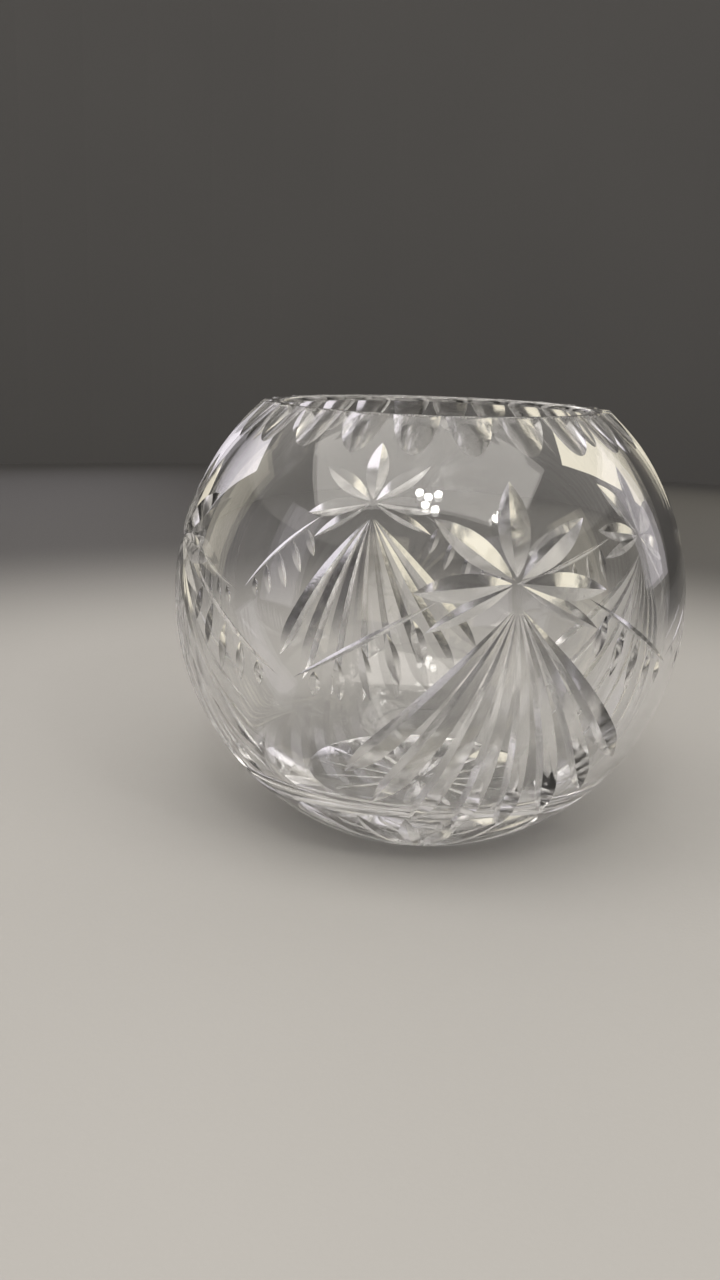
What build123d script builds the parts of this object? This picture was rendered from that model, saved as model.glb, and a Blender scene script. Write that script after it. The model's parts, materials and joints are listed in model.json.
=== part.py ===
from build123d import *
from math import asin, atan2, cos, degrees, sin, sqrt
import os

# Rose bowl vase in clear cut crystal, a single piece of glass. All sizes are in millimetres.
# The origin is the centre of the flat base, +Z runs up through the mouth and -Y is the front.
# The blank is a truncated ball. Every ornament is the mark of a V-edged or round-edged wheel.
# Headings are seen from outside the bowl: 0 runs to the right, 90 runs up to the rim.

# Blank
body_radius = 88.0
bowl_height = 142.0
base_radius = 44.0
wall = 5.2
floor_thickness = 8.5
floor_dish_radius = 150.0
floor_corner_radius = 20.0
lip_bevel = 1.2

# Flutes that ring the shoulder and run out on the rim
flute_count = 24
flute_length = 14.5
flute_depth = 1.9
flute_wheel_radius = 16.0

# Stars, a quarter of a turn apart
star_count = 4
star_turn = 14.0
star_height = 98.0

# Leaf-shaped petals of each star: the crown petal, the side petals and the two low ones
petal_start = 1.6
petal_length = 28.4
crown_width = 9.8
crown_depth = 2.8
crown_headings = (90,)
side_width = 8.2
side_depth = 2.5
side_headings = (40, -4, 140, 184)
low_width = 4.8
low_depth = 1.6
low_headings = (-27, 207)

# Fan of long mitres under each star, longest in the middle, that spring from a point below its middle
fan_drop = 6.0
fan_heading = 270
ray_count = 8
ray_pitch = 11.7
ray_start = 2.0
ray_length = 84.0
ray_edge_length = 74.0
ray_tail = 16.0
ray_width = 7.5
ray_depth = 2.3

# Frond on each side of the fan: a drooping stem with leaves hanging from it
stem_distance = 48.0
stem_heading = 19.8
stem_droop = 8.0
stem_length = 50.0
stem_width = 1.9
stem_depth = 0.6
leaf_first = 31.5
leaf_last = 64.5
leaf_headings = (15.6, 17.9, 19.8, 21.1, 22.2)
leaf_lengths = (13.0, 15.5, 16.5, 13.0, 8.0)
leaf_slants = (88, 84, 77, 69, 62)
leaf_width = 4.0
leaf_depth = 1.2
leaf_gap = 1.2

# Rayed star in the underside
base_ray_count = 16
base_ray_start = 2.4
base_ray_length = 38.0
base_ray_width = 6.2
base_ray_depth = 2.0

# How far a cutter stands out past the glass
overrun = 3.0

centre_height = sqrt(body_radius**2 - base_radius**2)
rim_level = bowl_height - centre_height
cavity_radius = body_radius - wall
star_lift = degrees(asin((star_height - centre_height) / body_radius))
turn = 360
star_places = [Rot(0, 0, star_turn + turn * i / star_count) for i in range(star_count)]


def blank():
    """The uncut bowl about the middle of its ball: outer ball, cavity, dished floor, flat base and rim."""
    rim_radius = sqrt(body_radius**2 - rim_level**2)
    mouth_radius = sqrt(cavity_radius**2 - rim_level**2)
    floor_level = floor_thickness - centre_height
    dish_centre = floor_level + floor_dish_radius
    corner_level = (cavity_radius**2 + dish_centre**2 - floor_dish_radius**2) / (2 * dish_centre)
    corner = (sqrt(cavity_radius**2 - corner_level**2), corner_level)
    outside = RadiusArc((base_radius, -centre_height), (rim_radius, rim_level), -body_radius)
    rim = Line((rim_radius, rim_level), (mouth_radius, rim_level))
    inside = RadiusArc((mouth_radius, rim_level), corner, cavity_radius)
    dish = RadiusArc(corner, (0, floor_level), floor_dish_radius)
    core = Line((0, floor_level), (0, -centre_height))
    base = Line((0, -centre_height), (base_radius, -centre_height))
    profile = Sketch() + make_face([outside, rim, inside, dish, core, base])
    corner_point = profile.vertices().sort_by_distance(corner)[0]
    profile = fillet(corner_point, floor_corner_radius)
    lip_point = profile.vertices().sort_by_distance((mouth_radius, rim_level))[0]
    profile = chamfer(lip_point, lip_bevel)
    return revolve(Plane.XZ * profile, Axis.Z)


def wheel_swing(length, width, depth, from_share, to_share):
    """What a V-edged wheel takes out of the ball's top, along X, between two shares of its half swing."""
    half_angle = length / (2 * body_radius)
    drop = body_radius * (1 - cos(half_angle))
    hub = depth * (2 * body_radius - depth) / (2 * (depth - drop))
    edge = body_radius - depth
    side_drop = body_radius - sqrt(body_radius**2 - (width / 2)**2)
    flare = (width / 2) / (depth - side_drop) * (depth + overrun)
    top = body_radius + overrun
    wheel_radius = abs(edge - hub)
    half_sweep = degrees(asin(body_radius * sin(half_angle) / wheel_radius) + overrun / wheel_radius)
    hub_axis = Axis((0, 0, hub), (0, 1, 0))
    near, far = (from_share, to_share) if edge > hub else (-to_share, -from_share)
    section = make_face(Polyline((0, 0, edge), (0, flare, top), (0, -flare, top), close=True))
    section = section.rotate(hub_axis, near * half_sweep)
    return revolve(section, hub_axis, revolution_arc=(far - near) * half_sweep)


def wheel_mark(length, width, depth):
    """A whole mark of a wheel: deepest in the middle, with pointed ends."""
    return wheel_swing(length, width, depth, -1, 1)


def tailed_mark(behind, ahead, width, depth):
    """A mark that runs further behind its deepest point than ahead of it, where it has a round end."""
    return wheel_swing(2 * behind, width, depth, -1, 0) + wheel_swing(2 * ahead, width, depth, 0, 1)


def about_star(heading, distance, drop=0):
    """Moves a mark from the ball's top to its place about a point at or below the front star's middle."""
    down = degrees(drop / body_radius)
    return Rot(90 - star_lift + down, 0, 0) * Rot(0, 0, heading) * Rot(0, degrees(distance / body_radius), 0)


def petals():
    """The star's leaf-shaped petals."""
    kinds = ((crown_headings, crown_width, crown_depth), (side_headings, side_width, side_depth),
             (low_headings, low_width, low_depth))
    return [about_star(heading, petal_start + petal_length / 2) * wheel_mark(petal_length, width, depth)
            for headings, width, depth in kinds for heading in headings]


def rays():
    """The fan's long mitres, which shorten towards its two sides and are deepest near their round ends."""
    marks = []
    for i in range(ray_count):
        side_share = 2 * i / (ray_count - 1) - 1
        inner_length = ray_length - (ray_length - ray_edge_length) * side_share**2 - ray_tail
        heading = fan_heading + (i - (ray_count - 1) / 2) * ray_pitch
        mark = tailed_mark(inner_length, ray_tail, ray_width, ray_depth)
        marks.append(about_star(heading, ray_start + inner_length, fan_drop) * mark)
    return marks


def side_heading(side, below):
    """The heading of a point below the horizontal: on the right for side 1, on the left for side -1."""
    return -below if side > 0 else 180 + below


def stem(side):
    """A frond's drooping stem."""
    mark = wheel_mark(stem_length, stem_width, stem_depth)
    return about_star(side_heading(side, stem_heading), stem_distance) * Rot(0, 0, -side * stem_droop) * mark


def leaves(side):
    """The row of leaves that hangs under a stem, side by side."""
    marks = []
    for i, (below, length, slant) in enumerate(zip(leaf_headings, leaf_lengths, leaf_slants)):
        distance = leaf_first + (leaf_last - leaf_first) * i / (len(leaf_lengths) - 1)
        hang = Rot(0, 0, -side * slant) * Rot(0, degrees((length / 2 + leaf_gap) / body_radius), 0)
        mark = wheel_mark(length, leaf_width, leaf_depth)
        marks.append(about_star(side_heading(side, below), distance) * hang * mark)
    return marks


def flutes():
    """Round-bottomed flutes, deepest on the rim, each a slanted cylinder that leaves the ball below."""
    rim_angle = asin(rim_level / body_radius)
    foot_angle = rim_angle - flute_length / body_radius
    top_x = (body_radius - flute_depth) * cos(rim_angle)
    top_z = (body_radius - flute_depth) * sin(rim_angle)
    foot_x = body_radius * cos(foot_angle)
    foot_z = body_radius * sin(foot_angle)
    slant = degrees(atan2(foot_x - top_x, top_z - foot_z))
    length = sqrt((foot_x - top_x)**2 + (top_z - foot_z)**2)
    bar = Cylinder(flute_wheel_radius, length + 2 * flute_wheel_radius)
    middle = Pos((top_x + foot_x) / 2, 0, (top_z + foot_z) / 2)
    flute = middle * Rot(0, -slant, 0) * Pos(flute_wheel_radius, 0, 0) * bar
    return [Rot(0, 0, star_turn + turn * (i + 1 / 2) / flute_count) * flute for i in range(flute_count)]


def base_star():
    """Straight V-cuts in the flat base, which run out before its edge."""
    half_length = base_ray_length / 2
    wheel_radius = (half_length**2 + base_ray_depth**2) / (2 * base_ray_depth)
    edge = base_ray_depth - centre_height
    flare = base_ray_width / 2 * (base_ray_depth + overrun) / base_ray_depth
    under = -centre_height - overrun
    section = make_face(Polyline((0, 0, edge), (0, flare, under), (0, -flare, under), close=True))
    half_sweep = degrees(asin(half_length / wheel_radius) + overrun / wheel_radius)
    hub_axis = Axis((0, 0, edge - wheel_radius), (0, 1, 0))
    mark = revolve(section, hub_axis, revolution_arc=2 * half_sweep).rotate(hub_axis, -half_sweep)
    mark = Pos(base_ray_start + half_length, 0, 0) * mark
    return [Rot(0, 0, star_turn + turn * i / base_ray_count) * mark for i in range(base_ray_count)]


def cut_under_stars(glass, marks):
    """Cuts the given marks of the front star, and their copies about the other stars, in one step."""
    return glass.cut(*[place * mark for mark in marks for place in star_places])


def cut_glass_bowl():
    """The whole bowl, lifted so that its base rests on the ground plane."""
    glass = blank()
    for ring in (flutes(), base_star()):
        glass = glass.cut(*ring[::2]).cut(*ring[1::2])
    for mark in petals() + rays():
        glass = cut_under_stars(glass, [mark])
    glass = cut_under_stars(glass, leaves(1) + leaves(-1))
    glass = cut_under_stars(glass, [stem(1), stem(-1)])
    return Pos(0, 0, centre_height) * glass


os.makedirs("parts", exist_ok=True)
export_step(cut_glass_bowl(), "parts/cut_glass_bowl.step")
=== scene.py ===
"""Rose bowl of clear cut crystal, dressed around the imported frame.

The glass is rebuilt at full fineness: a lathed blank is cut by the kind of wheels that its maker used.
Every corner gets the exact normal of the surface that it lies on, so light bends as in polished crystal.
Sizes are in metres. +Z runs up through the mouth and -Y is the front.
"""

import json
import logging
from dataclasses import dataclass, field, replace
from enum import Enum, IntEnum
from math import asin, atan2, ceil, cos, pi, radians, sin, sqrt
from typing import Protocol

import bpy
import numpy as np
from mathutils import Matrix, Vector

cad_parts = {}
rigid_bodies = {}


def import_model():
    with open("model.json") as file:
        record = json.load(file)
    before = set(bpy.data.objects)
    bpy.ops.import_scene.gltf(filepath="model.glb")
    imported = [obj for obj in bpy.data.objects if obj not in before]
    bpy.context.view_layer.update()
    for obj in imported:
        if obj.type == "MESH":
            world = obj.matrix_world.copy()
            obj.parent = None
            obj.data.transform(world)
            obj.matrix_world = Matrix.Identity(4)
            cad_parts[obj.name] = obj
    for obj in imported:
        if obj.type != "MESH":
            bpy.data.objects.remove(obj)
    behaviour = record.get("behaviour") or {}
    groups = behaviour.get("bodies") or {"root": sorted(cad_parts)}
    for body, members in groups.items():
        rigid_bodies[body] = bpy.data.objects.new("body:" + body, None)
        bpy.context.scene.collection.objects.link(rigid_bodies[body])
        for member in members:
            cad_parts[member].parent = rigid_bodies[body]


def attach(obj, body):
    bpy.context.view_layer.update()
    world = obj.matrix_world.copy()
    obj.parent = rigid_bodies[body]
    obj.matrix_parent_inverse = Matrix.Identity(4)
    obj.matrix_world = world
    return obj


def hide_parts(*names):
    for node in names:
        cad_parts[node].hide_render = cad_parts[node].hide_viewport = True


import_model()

LOG = logging.getLogger("rose_bowl")
NODE = "cut_glass_bowl"
BODY = "root"
SURFACE_MARK = "surface"
CUT_MARK = "cut"
FULL_TURN = 360.0
TINY = 1e-12


class Facing(IntEnum):
    """Which way a round surface looks from its centre or middle line."""

    OUT = 1
    IN = -1


class LampShape(Enum):
    """The outline of a lamp."""

    SOFTBOX = "RECTANGLE"
    BULB = "DISK"


class Surface(Protocol):
    """Something that knows which way its glass faces at any point on it."""

    def normals(self, points: np.ndarray) -> np.ndarray:
        """Returns one outward direction for each of the given points."""


def unit(rows: np.ndarray) -> np.ndarray:
    """Returns the rows scaled to length one."""
    return rows / np.maximum(np.linalg.norm(rows, axis=1, keepdims=True), TINY)


@dataclass(frozen=True)
class BallSurface:
    """A ball's skin, seen from outside or from inside."""

    centre_height: float
    facing: Facing

    def normals(self, points: np.ndarray) -> np.ndarray:
        """Returns the directions away from the centre, or towards it where the skin faces in."""
        return self.facing * unit(points - np.array((0.0, 0.0, self.centre_height)))


@dataclass(frozen=True)
class FlatSurface:
    """A ground flat face."""

    direction: tuple[float, float, float]

    def normals(self, points: np.ndarray) -> np.ndarray:
        """Returns the face's one direction for every point."""
        return np.tile(np.array(self.direction), (len(points), 1))


@dataclass(frozen=True)
class RollSurface:
    """A rounded ring: a fillet or lip whose round section has its centre on a circle about the axis."""

    ring_radius: float
    ring_height: float
    facing: Facing

    def normals(self, points: np.ndarray) -> np.ndarray:
        """Works out the directions away from the ring's middle line, or towards it where it faces in.

        Args:
            points: points on the ring.
        Returns:
            One direction for each.
        """
        flat = unit(points * np.array((1.0, 1.0, 0.0))) * self.ring_radius
        middle = flat + np.array((0.0, 0.0, self.ring_height))
        return self.facing * unit(points - middle)


@dataclass(frozen=True)
class FluteSurface:
    """The hollow left by a round-edged wheel: a stretch of a cylinder, seen from its axis."""

    origin: tuple[float, float, float]
    direction: tuple[float, float, float]

    def normals(self, points: np.ndarray) -> np.ndarray:
        """Works out the directions towards the cylinder's axis.

        Args:
            points: points in the flute.
        Returns:
            One direction for each.
        """
        base, along = np.array(self.origin), np.array(self.direction)
        offset = points - base
        foot = base + np.outer(offset @ along, along)
        return unit(foot - points)


@dataclass(frozen=True)
class BevelSurface:
    """One side of the groove left by a V-edged wheel: a stretch of a cone about the wheel's spindle."""

    place: Matrix
    hub: float
    rise: float
    flare: float
    side: int
    ring: Facing

    def normals(self, points: np.ndarray) -> np.ndarray:
        """Works out the directions out of the glass, which lean over the groove.

        Args:
            points: points on this side of the groove.
        Returns:
            One direction for each.
        """
        back = np.array(self.place.inverted())
        local = points @ back[:3, :3].T + back[:3, 3]
        up = self.ring * unit(np.stack((local[:, 0], np.zeros(len(local)), local[:, 2] - self.hub), axis=1))
        across = np.array((0.0, -self.side * self.rise, 0.0))
        turned = unit(up * self.flare + across)
        return turned @ np.array(self.place)[:3, :3].T


class SurfaceBook:
    """Numbers every surface of the bowl, so that each face can say which one it lies on."""

    def __init__(self) -> None:
        """Starts an empty book."""
        self.surfaces: list[Surface] = []

    def enter(self, surface: Surface) -> int:
        """Writes a surface into the book.

        Args:
            surface: the surface to number.
        Returns:
            Its number.
        """
        self.surfaces.append(surface)
        return len(self.surfaces) - 1

    def set_normals(self, mesh: bpy.types.Mesh) -> None:
        """Gives each face corner of a finished mesh the exact normal of its surface.

        Args:
            mesh: a mesh whose faces carry their surface's number.
        """
        numbers = np.zeros(len(mesh.polygons), np.int32)
        mesh.attributes[SURFACE_MARK].data.foreach_get("value", numbers)
        totals = np.zeros(len(mesh.polygons), np.int32)
        mesh.polygons.foreach_get("loop_total", totals)
        corner_surface = np.repeat(numbers, totals)
        spots = np.zeros(len(mesh.vertices) * 3)
        mesh.vertices.foreach_get("co", spots)
        corner_vertex = np.zeros(len(mesh.loops), np.int32)
        mesh.loops.foreach_get("vertex_index", corner_vertex)
        corner_spots = spots.reshape(-1, 3)[corner_vertex]
        normals = np.zeros(corner_spots.shape)
        for number, surface in enumerate(self.surfaces):
            picked = corner_surface == number
            if picked.any():
                normals[picked] = surface.normals(corner_spots[picked])
        wheel_cut = (BevelSurface, FluteSurface)
        cut = np.array([isinstance(surface, wheel_cut) for surface in self.surfaces], float)
        mesh.attributes.new(CUT_MARK, "FLOAT", "FACE").data.foreach_set("value", cut[numbers])
        mesh.polygons.foreach_set("use_smooth", np.ones(len(mesh.polygons), bool))
        mesh.normals_split_custom_set(normals.tolist())


@dataclass
class Soup:
    """Points and faces on their way to becoming a mesh."""

    points: list[tuple[float, float, float]] = field(default_factory=list)
    faces: list[tuple[int, ...]] = field(default_factory=list)
    numbers: list[int] = field(default_factory=list)

    def mesh(self, name: str) -> bpy.types.Mesh:
        """Makes the mesh, with each face's surface number on it.

        Args:
            name: the mesh's name.
        Returns:
            The new mesh.
        """
        made = bpy.data.meshes.new(name)
        made.from_pydata(self.points, [], self.faces)
        mark = made.attributes.new(SURFACE_MARK, "INT", "FACE")
        mark.data.foreach_set("value", np.array(self.numbers, np.int32))
        made.update()
        return made


def turned_right(soup: Soup) -> Soup:
    """Turns every face of a closed soup over if they all look inwards.

    Args:
        soup: points and consistently wound faces.
    Returns:
        The same soup, facing outwards.
    """
    points = np.array(soup.points)
    volume = 0.0
    for face in soup.faces:
        first = points[face[0]]
        for second, third in zip(face[1:-1], face[2:]):
            volume += first @ np.cross(points[second], points[third])
    if volume < 0:
        soup.faces = [tuple(reversed(face)) for face in soup.faces]
    return soup


class HalfSection:
    """A half section as it is drawn: its points as (radius, height) and the surface of each stretch."""

    fewest_steps = 2

    def __init__(self) -> None:
        """Starts with nothing drawn."""
        self.points: list[tuple[float, float]] = []
        self.numbers: list[int] = []

    def arc(self, middle: tuple[float, float], size: float, turn: tuple[float, float], number: int,
            step: float) -> None:
        """Draws an arc, without its first point unless nothing is drawn yet.

        Args:
            middle: its middle's radius and height.
            size: its own radius.
            turn: the angles where it starts and ends.
            number: its surface's number.
            step: how far apart its points are at most.
        """
        start, end = turn
        count = max(self.fewest_steps, ceil(abs(end - start) * size / step))
        angles = [start + (end - start) * i / count for i in range(count + 1)]
        for angle in angles[1:] if self.points else angles:
            self.points.append((max(0.0, middle[0] + size * cos(angle)), middle[1] + size * sin(angle)))
        self.numbers += [number] * count

    def line(self, end: tuple[float, float], number: int) -> None:
        """Draws a straight stretch to a point."""
        self.points.append(end)
        self.numbers.append(number)


@dataclass(frozen=True)
class Blank:
    """The uncut bowl: a truncated ball with a round cavity, a dished floor, a flat base and a flat rim."""

    radius: float = 0.088
    height: float = 0.142
    base_radius: float = 0.044
    wall: float = 0.0052
    floor_thickness: float = 0.0085
    dish_radius: float = 0.150
    corner_radius: float = 0.020
    lip_radius: float = 0.0012
    sides: int = 288
    row_step: float = 0.0021
    corner_step: float = 0.00105
    lip_step: float = 0.0003

    @property
    def centre_height(self) -> float:
        """The height of the ball's centre over the base."""
        return sqrt(self.radius**2 - self.base_radius**2)

    @property
    def rim_level(self) -> float:
        """The rim's height over the ball's centre."""
        return self.height - self.centre_height

    def outline(self, book: SurfaceBook) -> HalfSection:
        """Draws the half section, from the middle of the floor round to the base's edge.

        Args:
            book: takes each stretch's surface.
        Returns:
            The half section.
        """
        lift, inner = self.centre_height, self.radius - self.wall
        dish_level = self.floor_thickness + self.dish_radius
        reach, corner_reach = inner - self.corner_radius, self.dish_radius - self.corner_radius
        gap = dish_level - lift
        corner_drop = (corner_reach**2 - reach**2 - gap**2) / (2 * gap)
        corner_level = lift - corner_drop
        corner_ring = sqrt(reach**2 - corner_drop**2)
        dish_end = atan2(corner_ring, dish_level - corner_level) - pi / 2
        wall_start = atan2(corner_level - lift, corner_ring)
        lip_level = self.height - self.lip_radius
        lip_ring = sqrt((inner + self.lip_radius)**2 - (lip_level - lift)**2)
        wall_end = atan2(lip_level - lift, lip_ring)
        rim_radius = sqrt(self.radius**2 - self.rim_level**2)
        dish = book.enter(BallSurface(dish_level, Facing.IN))
        corner = book.enter(RollSurface(corner_ring, corner_level, Facing.IN))
        cavity = book.enter(BallSurface(lift, Facing.IN))
        lip = book.enter(RollSurface(lip_ring, lip_level, Facing.OUT))
        rim = book.enter(FlatSurface((0.0, 0.0, 1.0)))
        ball = book.enter(BallSurface(lift, Facing.OUT))
        ball_turn = (asin(self.rim_level / self.radius), -asin(lift / self.radius))
        drawn = HalfSection()
        drawn.arc((0.0, dish_level), self.dish_radius, (-pi / 2, dish_end), dish, self.row_step)
        drawn.arc((corner_ring, corner_level), self.corner_radius, (dish_end, wall_start), corner,
                  self.corner_step)
        drawn.arc((0.0, lift), inner, (wall_start, wall_end), cavity, self.row_step)
        drawn.arc((lip_ring, lip_level), self.lip_radius, (pi + wall_end, pi / 2), lip, self.lip_step)
        drawn.line((rim_radius, self.height), rim)
        drawn.arc((0.0, lift), self.radius, ball_turn, ball, self.row_step)
        return drawn

    def soup(self, book: SurfaceBook) -> Soup:
        """Turns the half section round the axis.

        Args:
            book: takes the blank's surfaces.
        Returns:
            The closed soup of the uncut bowl.
        """
        drawn = self.outline(book)
        outline, numbers = drawn.points, drawn.numbers
        base = book.enter(FlatSurface((0.0, 0.0, -1.0)))
        soup = Soup(points=[(0.0, 0.0, outline[0][1])])
        for radius, level in outline[1:]:
            for side in range(self.sides):
                angle = 2 * pi * side / self.sides
                soup.points.append((radius * cos(angle), radius * sin(angle), level))
        for side in range(self.sides):
            after = (side + 1) % self.sides
            soup.faces.append((0, 1 + side, 1 + after))
            soup.numbers.append(numbers[0])
            for row, number in enumerate(numbers[1:]):
                low, high = 1 + row * self.sides, 1 + (row + 1) * self.sides
                soup.faces.append((low + side, high + side, high + after, low + after))
                soup.numbers.append(number)
        last = 1 + (len(outline) - 2) * self.sides
        soup.faces.append(tuple(last + side for side in reversed(range(self.sides))))
        soup.numbers.append(base)
        return turned_right(soup)


@dataclass(frozen=True)
class Wheel:
    """A V-edged wheel in its cut: how deep its edge goes, where its spindle is and how far it swings.

    Heights run outwards from the ball's centre along the middle of the cut.
    """

    edge: float
    hub: float
    flare: float
    top: float
    half_sweep: float
    step: float = 0.0018
    coarsest_turn: float = radians(4)
    fewest_steps: int = 4

    def swings(self, first_share: float, last_share: float) -> list[float]:
        """Lists the angles at which the V section is drawn.

        Args:
            first_share: where the swing starts, as a share of the half sweep.
            last_share: where it ends.
        Returns:
            The angles.
        """
        turn = min(self.step / abs(self.edge - self.hub), self.coarsest_turn)
        reach = self.half_sweep * (last_share - first_share)
        count = max(self.fewest_steps, ceil(reach / turn))
        return [self.half_sweep * first_share + reach * i / count for i in range(count + 1)]

    def section(self, swing: float, place: Matrix) -> list[tuple[float, float, float]]:
        """Works out the V section's three corners: its edge and its two tops.

        Args:
            swing: the angle that the wheel has swung to.
            place: where the groove lies.
        Returns:
            The corners.
        """
        found: list[tuple[float, float, float]] = []
        for across, level in ((0.0, self.edge), (self.flare, self.top), (-self.flare, self.top)):
            spoke = level - self.hub
            corner = Vector((abs(spoke) * sin(swing), across, self.hub + spoke * cos(swing)))
            found.append(tuple(place @ corner))
        return found

    def bevels(self, place: Matrix) -> list[BevelSurface]:
        """Works out the groove's two sides.

        Args:
            place: where the groove lies.
        Returns:
            Its near side and its far side.
        """
        ring = Facing.OUT if self.edge > self.hub else Facing.IN
        rise = self.top - self.edge
        return [BevelSurface(place, self.hub, rise, self.flare, side, ring) for side in (1, -1)]


@dataclass(frozen=True)
class Pass:
    """The part of a wheel's swing that a groove uses, as shares of its half sweep."""

    wheel: Wheel
    first_share: float = -1.0
    last_share: float = 1.0


def groove(passes: list[Pass], place: Matrix, book: SurfaceBook) -> Soup:
    """Sweeps the V section through one wheel's swing, or through two that meet where both are deepest.

    Args:
        passes: the swings, in order along the groove.
        place: where the groove lies.
        book: takes the groove's sides.
    Returns:
        The closed soup of the glass that is taken away.
    """
    soup = Soup()
    for stretch in passes:
        near, far = (book.enter(bevel) for bevel in stretch.wheel.bevels(place))
        swings = stretch.wheel.swings(stretch.first_share, stretch.last_share)
        if not soup.points:
            soup.points += stretch.wheel.section(swings[0], place)
            soup.faces.append((0, 2, 1))
            soup.numbers.append(near)
        for swing in swings[1:]:
            low, high = len(soup.points) - 3, len(soup.points)
            soup.points += stretch.wheel.section(swing, place)
            soup.faces += [(low, low + 1, high + 1, high), (low + 1, low + 2, high + 2, high + 1),
                           (low + 2, low, high, high + 2)]
            soup.numbers += [near, near, far]
    end = len(soup.points) - 3
    soup.faces.append((end, end + 1, end + 2))
    soup.numbers.append(near)
    return turned_right(soup)


def wheel_on_ball(radius: float, length: float, width: float, depth: float, overrun: float) -> Wheel:
    """Works out the wheel that leaves a cut of a given length, width and depth on a ball.

    Args:
        radius: the ball's radius.
        length: the cut's length along the ball, from point to point.
        width: its width in the middle.
        depth: its depth in the middle.
        overrun: how far the wheel stands out past the glass.
    Returns:
        The wheel.
    """
    half_angle = length / (2 * radius)
    drop = radius * (1 - cos(half_angle))
    hub = depth * (2 * radius - depth) / (2 * (depth - drop))
    edge = radius - depth
    side_drop = radius - sqrt(radius**2 - (width / 2)**2)
    flare = (width / 2) / (depth - side_drop) * (depth + overrun)
    size = abs(edge - hub)
    return Wheel(edge, hub, flare, radius + overrun, asin(radius * sin(half_angle) / size) + overrun / size)


def wheel_on_flat(level: float, length: float, width: float, depth: float, overrun: float) -> Wheel:
    """Works out the wheel that leaves a cut of a given length, width and depth in a flat face.

    Args:
        level: the face's distance from the ball's centre.
        length: the cut's length, from point to point.
        width: its width in the middle.
        depth: its depth in the middle.
        overrun: how far the wheel stands out past the glass.
    Returns:
        The wheel.
    """
    size = ((length / 2)**2 + depth**2) / (2 * depth)
    edge = level - depth
    flare = width / 2 * (depth + overrun) / depth
    return Wheel(edge, edge + size, flare, level + overrun, asin(length / 2 / size) + overrun / size)


@dataclass(frozen=True)
class Stroke:
    """A straight cut: where it is deepest about the star, how it is turned there, and its size.

    It runs a way ahead of its deepest point and a way behind it.
    """

    heading: float
    distance: float
    behind: float
    ahead: float
    width: float
    depth: float
    slant: float = 0.0
    hang: float = 0.0
    drop: float = 0.0

    def place(self, radius: float) -> Matrix:
        """Works out the turn that carries the stroke from the top of the ball.

        Args:
            radius: the ball's radius.
        Returns:
            The turn about the ball's centre: the slant and the hang along it, the place, and the drop.
        """
        turn = Matrix.Rotation(radians(self.slant), 4, "Z") @ Matrix.Rotation(self.hang / radius, 4, "Y")
        dropped = Matrix.Rotation(self.drop / radius, 4, "X")
        return dropped @ about_star(self.heading, self.distance, radius) @ turn

    def passes(self, radius: float, overrun: float) -> list[Pass]:
        """Works out the wheel's one swing, or the two where the stroke isn't the same both ways.

        Args:
            radius: the ball's radius.
            overrun: how far the wheel stands out past the glass.
        Returns:
            The swings, in order along the stroke.
        """
        rear = wheel_on_ball(radius, 2 * self.behind, self.width, self.depth, overrun)
        if self.ahead == self.behind:
            return [Pass(rear)]
        front = wheel_on_ball(radius, 2 * self.ahead, self.width, self.depth, overrun)
        return [Pass(rear, last_share=0.0), Pass(front, first_share=0.0)]


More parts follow.
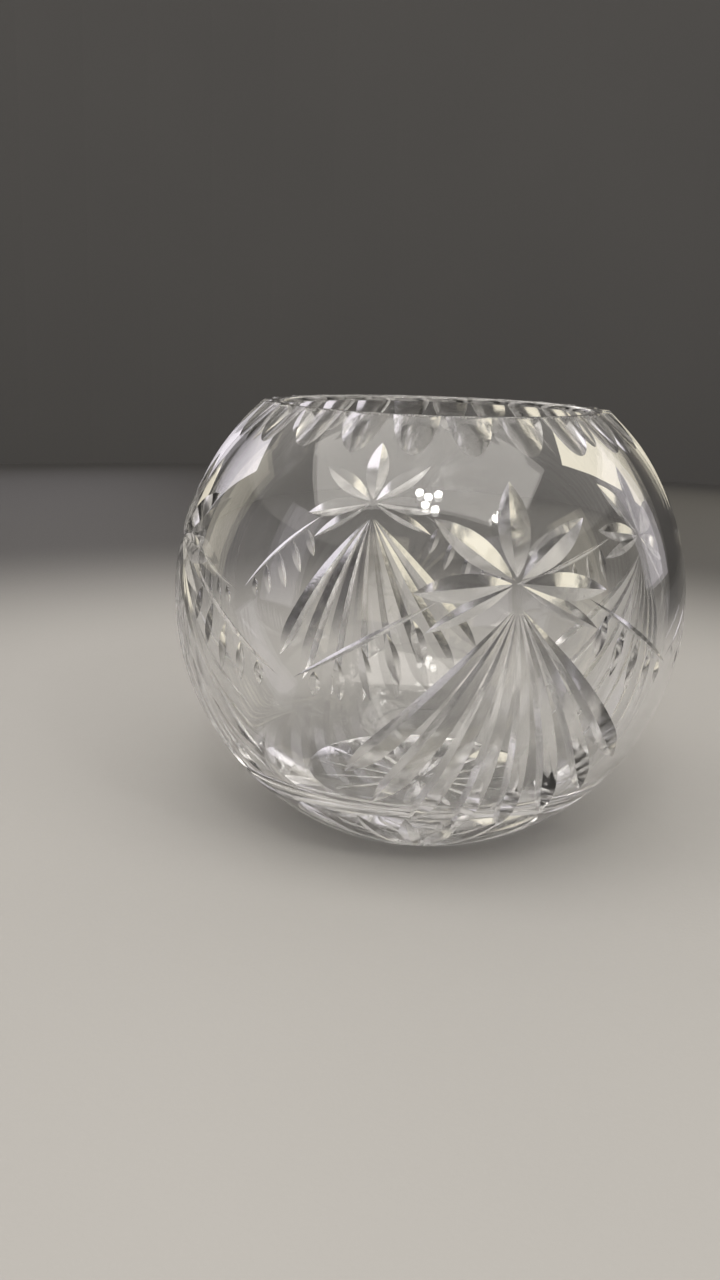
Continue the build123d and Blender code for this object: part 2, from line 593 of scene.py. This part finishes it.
@dataclass(frozen=True)
class StarMotif:
    """A star of petals, the fan of mitres that hangs from it and the frond on each side of the fan."""

    count: int = 4
    turn: float = 14.0
    height: float = 0.098
    petal_start: float = 0.0016
    petal_length: float = 0.0284
    crown_size: tuple[float, float] = (0.0098, 0.0028)
    crown_headings: tuple[float, ...] = (90,)
    side_size: tuple[float, float] = (0.0082, 0.0025)
    side_headings: tuple[float, ...] = (40, -4, 140, 184)
    low_size: tuple[float, float] = (0.0048, 0.0016)
    low_headings: tuple[float, ...] = (-27, 207)
    fan_drop: float = 0.0060
    ray_count: int = 8
    ray_pitch: float = 11.7
    ray_start: float = 0.0020
    ray_length: float = 0.084
    ray_edge_length: float = 0.074
    ray_tail: float = 0.016
    ray_size: tuple[float, float] = (0.0075, 0.0023)
    fan_heading: float = 270
    stem_distance: float = 0.048
    stem_heading: float = 19.8
    stem_droop: float = 8.0
    stem_length: float = 0.050
    stem_size: tuple[float, float] = (0.0019, 0.0006)
    leaf_first: float = 0.0315
    leaf_last: float = 0.0645
    leaf_headings: tuple[float, ...] = (15.6, 17.9, 19.8, 21.1, 22.2)
    leaf_lengths: tuple[float, ...] = (0.0130, 0.0155, 0.0165, 0.0130, 0.0080)
    leaf_slants: tuple[float, ...] = (88, 84, 77, 69, 62)
    leaf_size: tuple[float, float] = (0.0040, 0.0012)
    leaf_gap: float = 0.0012

    def strokes(self) -> list[Stroke]:
        """Lists every cut of one motif, in the order in which they are made."""
        return self.petals() + self.rays() + self.stems() + self.leaves()

    def petals(self) -> list[Stroke]:
        """Lists the leaf-shaped petals.

        Returns:
            The crown petal, the side petals and the low ones.
        """
        kinds = ((self.crown_headings, self.crown_size), (self.side_headings, self.side_size),
                 (self.low_headings, self.low_size))
        half = self.petal_length / 2
        return [Stroke(heading, self.petal_start + half, half, half, *size)
                for headings, size in kinds for heading in headings]

    def rays(self) -> list[Stroke]:
        """Lists the fan's mitres, each deepest near its round outer end.

        Returns:
            The mitres, from left to right.
        """
        found: list[Stroke] = []
        for i in range(self.ray_count):
            side_share = 2 * i / (self.ray_count - 1) - 1
            length = self.ray_length - (self.ray_length - self.ray_edge_length) * side_share**2
            heading = self.fan_heading + (i - (self.ray_count - 1) / 2) * self.ray_pitch
            inner = length - self.ray_tail
            found.append(Stroke(heading, self.ray_start + inner, inner, self.ray_tail, *self.ray_size,
                                drop=self.fan_drop))
        return found

    def stems(self) -> list[Stroke]:
        """Lists the two drooping stems."""
        half, heading = self.stem_length / 2, self.stem_heading
        return [Stroke(self.side_heading(side, heading), self.stem_distance, half, half, *self.stem_size,
                       slant=-side * self.stem_droop) for side in (1, -1)]

    def leaves(self) -> list[Stroke]:
        """Lists the leaves that hang from the two stems.

        Returns:
            The right stem's leaves and then the left one's, each row from the star outwards.
        """
        found: list[Stroke] = []
        for side in (1, -1):
            for i, (length, slant) in enumerate(zip(self.leaf_lengths, self.leaf_slants)):
                share = i / (len(self.leaf_lengths) - 1)
                distance = self.leaf_first + (self.leaf_last - self.leaf_first) * share
                heading, half = self.side_heading(side, self.leaf_headings[i]), length / 2
                found.append(Stroke(heading, distance, half, half, *self.leaf_size, slant=-side * slant,
                                    hang=half + self.leaf_gap))
        return found

    def side_heading(self, side: int, below: float) -> float:
        """Returns a heading below the horizontal: on the right for side 1, on the left for side -1."""
        return -below if side > 0 else FULL_TURN / 2 + below


def about_star(heading: float, distance: float, radius: float) -> Matrix:
    """Carries a cut from the top of the ball to its place about a star that sits on top.

    Args:
        heading: the direction from the star's middle, in degrees.
        distance: the way along the ball.
        radius: the ball's radius.
    Returns:
        The turn about the ball's centre.
    """
    return Matrix.Rotation(radians(heading), 4, "Z") @ Matrix.Rotation(distance / radius, 4, "Y")


@dataclass(frozen=True)
class ShoulderFlutes:
    """The ring of round-bottomed flutes that runs out on the rim."""

    count: int = 24
    length: float = 0.0145
    depth: float = 0.0019
    wheel_radius: float = 0.016
    sides: int = 120

    def soup(self, number: int, turn: float, blank: Blank, book: SurfaceBook) -> Soup:
        """Makes the slanted cylinder that leaves one flute.

        Args:
            number: which flute.
            turn: the star's turn, on which the ring is centred.
            blank: the uncut bowl.
            book: takes the flute's surface.
        Returns:
            The closed soup of the cylinder.
        """
        rim_angle = asin(blank.rim_level / blank.radius)
        foot_angle = rim_angle - self.length / blank.radius
        inset = blank.radius - self.depth
        top = Vector((inset * cos(rim_angle), 0.0, inset * sin(rim_angle)))
        foot = Vector((blank.radius * cos(foot_angle), 0.0, blank.radius * sin(foot_angle)))
        along = (top - foot).normalized()
        out = Vector((along.z, 0.0, -along.x))
        middle = (top + foot) / 2 + out * self.wheel_radius
        place = Matrix.Translation((0.0, 0.0, blank.centre_height)) @ Matrix.Rotation(
            radians(turn) + 2 * pi * (number + 1 / 2) / self.count, 4, "Z")
        half = (top - foot).length / 2 + self.wheel_radius
        turned = place.to_3x3()
        surface = book.enter(FluteSurface(tuple(place @ middle), tuple(turned @ along)))
        soup = Soup()
        for end in (-half, half):
            for side in range(self.sides):
                angle = 2 * pi * (side + 1 / 2) / self.sides
                spoke = out * cos(angle) + Vector((0.0, 1.0, 0.0)) * sin(angle)
                soup.points.append(tuple(place @ (middle + along * end + spoke * self.wheel_radius)))
        for side in range(self.sides):
            after = (side + 1) % self.sides
            soup.faces.append((side, after, self.sides + after, self.sides + side))
            soup.numbers.append(surface)
        soup.faces.append(tuple(reversed(range(self.sides))))
        soup.faces.append(tuple(range(self.sides, 2 * self.sides)))
        soup.numbers += [surface, surface]
        return turned_right(soup)


@dataclass(frozen=True)
class BaseStar:
    """The rayed star in the underside, which stops short of the base's edge."""

    count: int = 16
    start: float = 0.0024
    length: float = 0.038
    width: float = 0.0062
    depth: float = 0.0020


class Network:
    """A node tree that is being filled.

    A Mix node has a set of sockets for each kind of value, and the numbers kept here are those for colours.
    """

    mix_inputs = (0, 6, 7)
    mix_output = 2

    def __init__(self, tree: bpy.types.NodeTree) -> None:
        """Keeps the tree."""
        self.tree = tree

    def node(self, kind: str, settings: dict[str, object] | None = None,
             **sockets: object) -> bpy.types.Node:
        """Adds a node.

        Args:
            kind: the node's type.
            settings: its own properties.
            sockets: values or output sockets for its inputs, by name, with _ for a space.
        Returns:
            The new node.
        """
        made = self.tree.nodes.new(kind)
        for key, value in (settings or {}).items():
            setattr(made, key, value)
        for key, value in sockets.items():
            self.feed(made.inputs[key.replace("_", " ")], value)
        return made

    def feed(self, socket: bpy.types.NodeSocket, value: object) -> None:
        """Links an output to a socket, or sets the socket to a plain value.

        Args:
            socket: the input.
            value: an output socket, a number or a colour.
        """
        if isinstance(value, bpy.types.NodeSocket):
            self.tree.links.new(value, socket)
        else:
            socket.default_value = value

    def maths(self, operation: str, first: object, second: object = 0.0,
              clamp: bool = False) -> bpy.types.NodeSocket:
        """Adds a Math node.

        Args:
            operation: what it does.
            first: its first value or output.
            second: its second value or output.
            clamp: whether the result is kept from 0 to 1.
        Returns:
            Its output.
        """
        made = self.node("ShaderNodeMath", {"operation": operation, "use_clamp": clamp})
        self.feed(made.inputs[0], first)
        self.feed(made.inputs[1], second)
        return made.outputs[0]

    def blend(self, share: object, low: object, high: object) -> bpy.types.NodeSocket:
        """Mixes two colours.

        Args:
            share: how much of the second there is.
            low: the first colour.
            high: the second colour.
        Returns:
            The mixed colour's output.
        """
        made = self.node("ShaderNodeMix", {"data_type": "RGBA"})
        for index, value in zip(self.mix_inputs, (share, low, high)):
            self.feed(made.inputs[index], value)
        return made.outputs[self.mix_output]


class SharedEffects:
    """The shader groups that the finishes place, each made once."""

    cloud_detail = 2.0
    grain_detail = 3.0
    scratch_detail = 4.0
    scratch_roughness = 0.7
    scratch_stretch = (1.0, 0.12, 1.0)
    scratch_window = (0.48, 0.66)

    def __init__(self) -> None:
        """Makes the groups."""
        self.cloud = self.make_cloud()
        self.rub = self.make_rub()

    def group(self, name: str, inputs: tuple[str, ...], outputs: tuple[str, ...]) -> Network:
        """Starts a shader group.

        Args:
            name: the group's name.
            inputs: its number inputs, which each material sets.
            outputs: its number outputs.
        Returns:
            The network inside it.
        """
        tree = bpy.data.node_groups.new(name, "ShaderNodeTree")
        for way, labels in (("INPUT", inputs), ("OUTPUT", outputs)):
            for label in labels:
                tree.interface.new_socket(label, in_out=way, socket_type="NodeSocketFloat")
        return Network(tree)

    def make_cloud(self) -> bpy.types.NodeTree:
        """Makes slow clouds and a fine grain over them, both from 0 to 1.

        Returns:
            The group.
        """
        net = self.group("cloud_and_grain", ("Cloud Scale", "Grain Scale"), ("Cloud", "Grain"))
        given = net.node("NodeGroupInput")
        spot = net.node("ShaderNodeTexCoord").outputs["Object"]
        cloud = net.node("ShaderNodeTexNoise", Vector=spot, Scale=given.outputs["Cloud Scale"],
                         Detail=self.cloud_detail)
        grain = net.node("ShaderNodeTexNoise", Vector=spot, Scale=given.outputs["Grain Scale"],
                         Detail=self.grain_detail)
        net.node("NodeGroupOutput", Cloud=cloud.outputs["Fac"], Grain=grain.outputs["Fac"])
        return net.tree

    def make_rub(self) -> bpy.types.NodeTree:
        """Makes the mask of a surface rubbed at one height, broken up into fine scratches.

        Returns:
            The group.
        """
        net = self.group("rubbed_ring", ("Level", "Reach", "Scratch Scale"), ("Mask",))
        given = net.node("NodeGroupInput")
        spot = net.node("ShaderNodeTexCoord").outputs["Object"]
        height = net.node("ShaderNodeSeparateXYZ", Vector=spot).outputs["Z"]
        away = net.maths("ABSOLUTE", net.maths("SUBTRACT", height, given.outputs["Level"]))
        near = net.maths("SUBTRACT", 1.0, net.maths("DIVIDE", away, given.outputs["Reach"]), clamp=True)
        stretched = net.node("ShaderNodeVectorMath", {"operation": "MULTIPLY"})
        net.feed(stretched.inputs[0], spot)
        stretched.inputs[1].default_value = self.scratch_stretch
        scratch = net.node("ShaderNodeTexNoise", Vector=stretched.outputs[0],
                           Scale=given.outputs["Scratch Scale"], Detail=self.scratch_detail,
                           Roughness=self.scratch_roughness)
        low, high = self.scratch_window
        lines = net.node("ShaderNodeMapRange", Value=scratch.outputs["Fac"], From_Min=low, From_Max=high)
        net.node("NodeGroupOutput", Mask=net.maths("MULTIPLY", near, lines.outputs["Result"]))
        return net.tree


@dataclass(frozen=True)
class Finish:
    """What every finish here starts from."""

    name: str

    def start(self) -> tuple[bpy.types.Material, Network, bpy.types.Node]:
        """Starts the material.

        Returns:
            The material, its network and its Principled shader.
        """
        material = bpy.data.materials.new(self.name)
        material.use_nodes = True
        return material, Network(material.node_tree), material.node_tree.nodes["Principled BSDF"]


@dataclass(frozen=True)
class ClearCrystal(Finish):
    """Heavy colourless crystal: brightly polished, softer in its cuts, rubbed on its base and rim."""

    name: str = "clear_crystal"
    bend: float = 1.545
    tint: tuple[float, float, float] = (0.985, 0.988, 0.990)
    haze_tint: tuple[float, float, float] = (0.95, 0.955, 0.965)
    roughness: float = 0.004
    cut_roughness: float = 0.32
    rub_roughness: float = 0.30
    base_rub: float = 0.0016
    rim_rub: float = 0.0011
    scratch_scale: float = 900.0
    ripple_scale: float = 38.0
    cut_ripple_scale: float = 420.0
    ripple_depth: float = 0.00002
    cut_ripple_depth: float = 0.00005

    def make(self, effects: SharedEffects, height: float) -> bpy.types.Material:
        """Builds the material.

        Args:
            effects: the shared groups.
            height: the rim's height.
        Returns:
            The new material.
        """
        material, net, shader = self.start()
        cut = net.node("ShaderNodeAttribute", {"attribute_name": CUT_MARK}).outputs["Fac"]
        cloud = net.node("ShaderNodeGroup", {"node_tree": effects.cloud}, Cloud_Scale=self.ripple_scale,
                         Grain_Scale=self.cut_ripple_scale)
        rubs = [net.node("ShaderNodeGroup", {"node_tree": effects.rub}, Level=level, Reach=reach,
                         Scratch_Scale=self.scratch_scale)
                for level, reach in ((0.0, self.base_rub), (height, self.rim_rub))]
        rubbed = net.maths("MAXIMUM", *(rub.outputs["Mask"] for rub in rubs))
        cut_grain = net.maths("MULTIPLY", cloud.outputs["Grain"], cut)
        smear = net.maths("MULTIPLY", cloud.outputs["Cloud"], self.roughness)
        dull = net.maths("MULTIPLY", cut_grain, self.cut_roughness)
        worn = net.maths("MULTIPLY", rubbed, self.rub_roughness)
        soft = net.maths("ADD", smear, dull)
        net.feed(shader.inputs["Roughness"], net.maths("ADD", soft, worn, clamp=True))
        net.feed(shader.inputs["Base Color"], net.blend(rubbed, (*self.tint, 1.0), (*self.haze_tint, 1.0)))
        slow = net.maths("MULTIPLY", cloud.outputs["Cloud"], self.ripple_depth)
        quick = net.maths("MULTIPLY", cut_grain, self.cut_ripple_depth)
        bump = net.node("ShaderNodeBump", Height=net.maths("ADD", slow, quick), Strength=1.0, Distance=1.0)
        net.feed(shader.inputs["Normal"], bump.outputs["Normal"])
        net.feed(shader.inputs["IOR"], self.bend)
        net.feed(shader.inputs["Transmission Weight"], 1.0)
        return material


@dataclass(frozen=True)
class CrystalBowl:
    """The whole bowl: its blank, the cuts in it, its finished mesh and its finish."""

    name: str = "crystal_bowl"
    blank: Blank = Blank()
    motif: StarMotif = StarMotif()
    flutes: ShoulderFlutes = ShoulderFlutes()
    base_star: BaseStar = BaseStar()
    overrun: float = 0.003
    finish: ClearCrystal = ClearCrystal()
    book: SurfaceBook = field(default_factory=SurfaceBook)

    def star_cutters(self) -> list[Soup]:
        """Makes the cutters of every star motif round the bowl.

        Returns:
            One closed soup for each cut.
        """
        blank, motif, overrun = self.blank, self.motif, self.overrun
        radius = blank.radius
        lift = asin((motif.height - blank.centre_height) / radius)
        made: list[Soup] = []
        for number in range(motif.count):
            turn = radians(motif.turn) + 2 * pi * number / motif.count
            star = (Matrix.Translation((0.0, 0.0, blank.centre_height)) @ Matrix.Rotation(turn, 4, "Z")
                    @ Matrix.Rotation(pi / 2 - lift, 4, "X"))
            made += [groove(stroke.passes(radius, overrun), star @ stroke.place(radius), self.book)
                     for stroke in motif.strokes()]
        return made

    def base_cutters(self) -> list[Soup]:
        """Makes the cutters of the star underneath.

        Returns:
            One closed soup for each cut.
        """
        star, lift = self.base_star, self.blank.centre_height
        wheel = wheel_on_flat(lift, star.length, star.width, star.depth, self.overrun)
        out = Matrix.Translation((star.start + star.length / 2, 0.0, 0.0))
        flip = Matrix.Translation((0.0, 0.0, lift)) @ Matrix.Rotation(pi, 4, "X")
        made: list[Soup] = []
        for number in range(star.count):
            turn = radians(self.motif.turn) + 2 * pi * number / star.count
            made.append(groove([Pass(wheel)], flip @ Matrix.Rotation(-turn, 4, "Z") @ out, self.book))
        return made

    def build(self) -> bpy.types.Object:
        """Cuts the blank and gives every corner its exact normal.

        Returns:
            The finished bowl.
        """
        bowl = bpy.data.objects.new(self.name, self.blank.soup(self.book).mesh(self.name))
        bpy.context.scene.collection.objects.link(bowl)
        cutters = bpy.data.collections.new("cutters")
        turn = self.motif.turn
        soups = [self.flutes.soup(i, turn, self.blank, self.book) for i in range(self.flutes.count)]
        soups += self.base_cutters() + self.star_cutters()
        for number, soup in enumerate(soups):
            name = f"cutter_{number}"
            cutters.objects.link(bpy.data.objects.new(name, soup.mesh(name)))
        bpy.context.scene.collection.children.link(cutters)
        cut = bowl.modifiers.new("cut", "BOOLEAN")
        cut.solver, cut.operation = "MANIFOLD", "DIFFERENCE"
        cut.operand_type, cut.collection = "COLLECTION", cutters
        bpy.context.view_layer.update()
        depsgraph = bpy.context.evaluated_depsgraph_get()
        finished = bpy.data.meshes.new_from_object(bowl.evaluated_get(depsgraph))
        bowl.modifiers.clear()
        bowl.data = finished
        for cutter in list(cutters.objects):
            bpy.data.objects.remove(cutter)
        bpy.data.collections.remove(cutters)
        self.book.set_normals(finished)
        return bowl

    def dress(self, bowl: bpy.types.Object, effects: SharedEffects) -> None:
        """Gives the bowl its finish.

        Args:
            bowl: the finished bowl.
            effects: the shared groups.
        """
        bowl.data.materials.clear()
        bowl.data.materials.append(self.finish.make(effects, self.blank.height))


@dataclass(frozen=True)
class StudioPaint(Finish):
    """A matt studio surface with soft clouds and a fine tooth.

    Its colour fades to a darker one between two distances, a painted falloff of light away from the middle;
    the distances lie past the wall unless they are given.
    """

    colour: tuple[float, float, float] = (0.4, 0.4, 0.4)
    cloudy: tuple[float, float, float] = (0.38, 0.38, 0.38)
    roughness: float = 0.65
    roughness_spread: float = 0.2
    cloud_scale: float = 5.0
    # painted falloff of light: the darker colour that the surface takes far from the middle
    painted_falloff_colour: tuple[float, float, float] = (0.075, 0.074, 0.073)
    painted_falloff_start: float = 10.0
    painted_falloff_end: float = 11.0
    tooth_scale: float = 900.0
    tooth_depth: float = 0.00004

    def make(self, effects: SharedEffects) -> bpy.types.Material:
        """Builds the material.

        Args:
            effects: the shared groups.
        Returns:
            The new material.
        """
        material, net, shader = self.start()
        cloud = net.node("ShaderNodeGroup", {"node_tree": effects.cloud}, Cloud_Scale=self.cloud_scale,
                         Grain_Scale=self.tooth_scale)
        near = net.blend(cloud.outputs["Cloud"], (*self.colour, 1.0), (*self.cloudy, 1.0))
        # painted falloff of light: the colour darkens with the distance from the middle, as if less light
        # reached there
        away = net.node("ShaderNodeVectorMath", {"operation": "LENGTH"})
        net.feed(away.inputs[0], net.node("ShaderNodeTexCoord").outputs["Object"])
        painted_falloff_share = net.node("ShaderNodeMapRange", {"interpolation_type": "SMOOTHSTEP"},
                        Value=away.outputs["Value"], From_Min=self.painted_falloff_start, From_Max=self.painted_falloff_end)
        colour = net.blend(painted_falloff_share.outputs["Result"], near, (*self.painted_falloff_colour, 1.0))
        net.feed(shader.inputs["Base Color"], colour)
        spread = net.maths("MULTIPLY", cloud.outputs["Grain"], self.roughness_spread)
        net.feed(shader.inputs["Roughness"], net.maths("ADD", spread, self.roughness))
        tooth = net.maths("MULTIPLY", cloud.outputs["Grain"], self.tooth_depth)
        bump = net.node("ShaderNodeBump", Height=tooth, Strength=1.0, Distance=1.0)
        net.feed(shader.inputs["Normal"], bump.outputs["Normal"])
        return material


@dataclass(frozen=True)
class PhotoCamera:
    """The camera at the photograph's angle, about the middle of the ball."""

    place_share: tuple[float, float, float] = (-0.264, -4.699, 1.016)
    pitch: float = 14.49
    roll: float = 1.87
    focal_pixels: float = 1199.0
    frame_pixels: float = 1280.0
    sensor: float = 36.0

    def make(self, blank: Blank) -> bpy.types.Object:
        """Sets the camera up.

        Args:
            blank: the bowl that the camera's place is given about.
        Returns:
            The camera.
        """
        data = bpy.data.cameras.new("camera")
        data.sensor_width = self.sensor
        data.lens = self.sensor * self.focal_pixels / self.frame_pixels
        camera = bpy.data.objects.new("camera", data)
        bpy.context.scene.collection.objects.link(camera)
        place = Vector(self.place_share) * blank.radius + Vector((0.0, 0.0, blank.centre_height))
        pitch, roll = radians(self.pitch), radians(self.roll)
        ahead, above = Vector((0.0, cos(pitch), -sin(pitch))), Vector((0.0, sin(pitch), cos(pitch)))
        right = Vector((1.0, 0.0, 0.0)) * cos(roll) + above * sin(roll)
        up = above * cos(roll) - Vector((1.0, 0.0, 0.0)) * sin(roll)
        turn = Matrix((right, up, -ahead)).transposed()
        camera.matrix_world = Matrix.Translation(place) @ turn.to_4x4()
        bpy.context.scene.camera = camera
        return camera


@dataclass(frozen=True)
class Lamp:
    """A lamp about the bowl, which looks at the bowl's middle and doesn't show in the picture itself."""

    name: str
    heading: float
    rise: float
    distance: float
    size: tuple[float, float]
    power: float
    colour: tuple[float, float, float]
    shape: LampShape = LampShape.SOFTBOX

    def hang(self, target: Vector, shift: tuple[float, float] = (0.0, 0.0)) -> None:
        """Hangs the lamp.

        Args:
            target: the point that it looks at.
            shift: how far it is moved across and along its own face.
        """
        data = bpy.data.lights.new(self.name, "AREA")
        data.shape, data.energy, data.color = self.shape.value, self.power, self.colour
        data.size = self.size[0]
        if self.shape is LampShape.SOFTBOX:
            data.size_y = self.size[1]
        turn, lift = radians(self.heading), radians(self.rise)
        out = Vector((sin(turn) * cos(lift), -cos(turn) * cos(lift), sin(lift)))
        lamp = bpy.data.objects.new(self.name, data)
        lamp.rotation_euler = (-out).to_track_quat("-Z", "Y").to_euler()
        moved = lamp.rotation_euler.to_matrix() @ Vector((*shift, 0.0))
        lamp.location = target + out * self.distance + moved
        lamp.visible_camera = False
        bpy.context.scene.collection.objects.link(lamp)


@dataclass(frozen=True)
class BulbCluster:
    """Bulbs hung side by side, which leave a sparkle on the front of the glass."""

    heading: float
    rise: float
    shifts: tuple[tuple[float, float], ...]


@dataclass(frozen=True)
class Studio:
    """A pale floor that darkens away from the bowl in a painted falloff of light, a round grey wall and a
    soft dome of light with softboxes round the bowl.
    """

    reach: float = 1.10
    wall_height: float = 0.62
    rest_gap: float = 0.0004
    sides: int = 96
    # the floor's colour darkens from 0.24 m to 0.56 m away from the bowl: a painted falloff of light, a
    # pale pool round the bowl
    floor_paint: StudioPaint = StudioPaint("pale_floor_painted_falloff", colour=(0.387, 0.382, 0.371),
                                           cloudy=(0.367, 0.363, 0.354), painted_falloff_start=0.24, painted_falloff_end=0.56)
    wall_paint: StudioPaint = StudioPaint("grey_wall", colour=(0.090, 0.089, 0.088),
                                          cloudy=(0.080, 0.079, 0.079))
    sky_low: tuple[float, float, float] = (0.268, 0.252, 0.232)
    sky_high: tuple[float, float, float] = (0.73, 0.69, 0.64)
    overhead: Lamp = Lamp("overhead_softbox", heading=-12.0, rise=68.0, distance=1.25, size=(2.2, 0.95),
                          power=15.5, colour=(1.0, 0.95, 0.89))
    strip: Lamp = Lamp("strip_softbox", heading=0.0, rise=17.0, distance=1.0, size=(0.30, 0.62),
                       power=0.51, colour=(0.99, 0.93, 1.0))
    warm_strip_colour: tuple[float, float, float] = (1.0, 0.92, 0.73)
    strip_count: int = 8
    bulb: Lamp = Lamp("bulb", heading=0.0, rise=0.0, distance=1.1, size=(0.064, 0.064), power=0.28,
                      colour=(1.0, 0.98, 0.94), shape=LampShape.BULB)
    clusters: tuple[BulbCluster, ...] = (
        BulbCluster(-4.4, 50.1, ((-0.075, 0.058), (-0.011, 0.025), (0.060, 0.050), (-0.030, -0.042),
                                 (0.045, -0.075))),
        BulbCluster(31.6, 41.4, ((-0.020, -0.010), (0.028, 0.016))))

    def make(self, effects: SharedEffects, bowl_middle: float) -> tuple[bpy.types.Object, bpy.types.Object]:
        """Builds the floor, the wall, the lamps and the world.

        Args:
            effects: the shared groups.
            bowl_middle: the height of the bowl's middle.
        Returns:
            The floor and the wall.
        """
        turns = [2 * pi * i / self.sides for i in range(self.sides)]
        ring = [(self.reach * cos(turn), self.reach * sin(turn)) for turn in turns]
        floor = self.sheet("floor", [(x, y, -self.rest_gap) for x, y in ring], [tuple(range(self.sides))])
        floor.data.materials.append(self.floor_paint.make(effects))
        panels = [(i, (i + 1) % self.sides, self.sides + (i + 1) % self.sides, self.sides + i)
                  for i in range(self.sides)]
        posts = [(x, y, z) for z in (-self.rest_gap, self.wall_height) for x, y in ring]
        wall = self.sheet("round_wall", posts, panels)
        wall.data.materials.append(self.wall_paint.make(effects))
        self.hang_lamps(Vector((0.0, 0.0, bowl_middle)))
        self.hang_sky()
        return floor, wall

    def hang_lamps(self, middle: Vector) -> None:
        """Hangs the overhead softbox, the ring of strips and the clusters of bulbs.

        Args:
            middle: the point that the lamps look at.
        """
        self.overhead.hang(middle)
        for number in range(self.strip_count):
            strip = replace(self.strip, heading=(number + 1 / 2) * FULL_TURN / self.strip_count)
            if number % 2:
                strip = replace(strip, colour=self.warm_strip_colour)
            strip.hang(middle)
        for cluster in self.clusters:
            bulb = replace(self.bulb, heading=cluster.heading, rise=cluster.rise)
            for shift in cluster.shifts:
                bulb.hang(middle, shift)

    def hang_sky(self) -> None:
        """Lights the world from above, softer towards the wall."""
        world = bpy.data.worlds.new("studio")
        bpy.context.scene.world = world
        world.use_nodes = True
        net = Network(world.node_tree)
        rise = net.node("ShaderNodeSeparateXYZ", Vector=net.node("ShaderNodeTexCoord").outputs["Generated"])
        height = net.maths("MAXIMUM", rise.outputs["Z"], 0.0)
        sky = net.blend(height, (*self.sky_low, 1.0), (*self.sky_high, 1.0))
        net.feed(world.node_tree.nodes["Background"].inputs["Color"], sky)

    def sheet(self, name: str, points: list[tuple[float, float, float]],
              faces: list[tuple[int, ...]]) -> bpy.types.Object:
        """Makes a stage piece.

        Args:
            name: its name.
            points: its corners.
            faces: its faces, by corner.
        Returns:
            The piece.
        """
        mesh = bpy.data.meshes.new(name)
        mesh.from_pydata(points, [], faces)
        made = bpy.data.objects.new(name, mesh)
        bpy.context.scene.collection.objects.link(made)
        return made


@dataclass(frozen=True)
class LightPaths:
    """How many walls of glass light may cross, and how bright a stray speck may be."""

    crossings: int = 24
    reflections: int = 12
    speck_limit: float = 6.0
    view_transform: str = "Standard"

    def apply(self) -> None:
        """Sets the scene's light paths."""
        cycles = bpy.context.scene.cycles
        cycles.max_bounces = self.crossings
        cycles.transmission_bounces = self.crossings
        cycles.glossy_bounces = self.reflections
        cycles.use_denoising = True
        cycles.sample_clamp_indirect = self.speck_limit
        bpy.context.scene.view_settings.view_transform = self.view_transform


def main() -> None:
    """Builds the bowl and the studio, and reports each piece."""
    logging.basicConfig(level=logging.INFO, format="%(name)s: %(message)s")
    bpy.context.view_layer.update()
    effects = SharedEffects()
    bowl = CrystalBowl()
    glass = bowl.build()
    bowl.dress(glass, effects)
    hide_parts(NODE)
    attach(glass, BODY)
    floor, wall = Studio().make(effects, bowl.blank.centre_height)
    for piece in (glass, floor, wall):
        LOG.info("%s: %d faces", piece.name, len(piece.data.polygons))
    PhotoCamera().make(bowl.blank)
    LightPaths().apply()


if __name__ == "__main__":
    main()
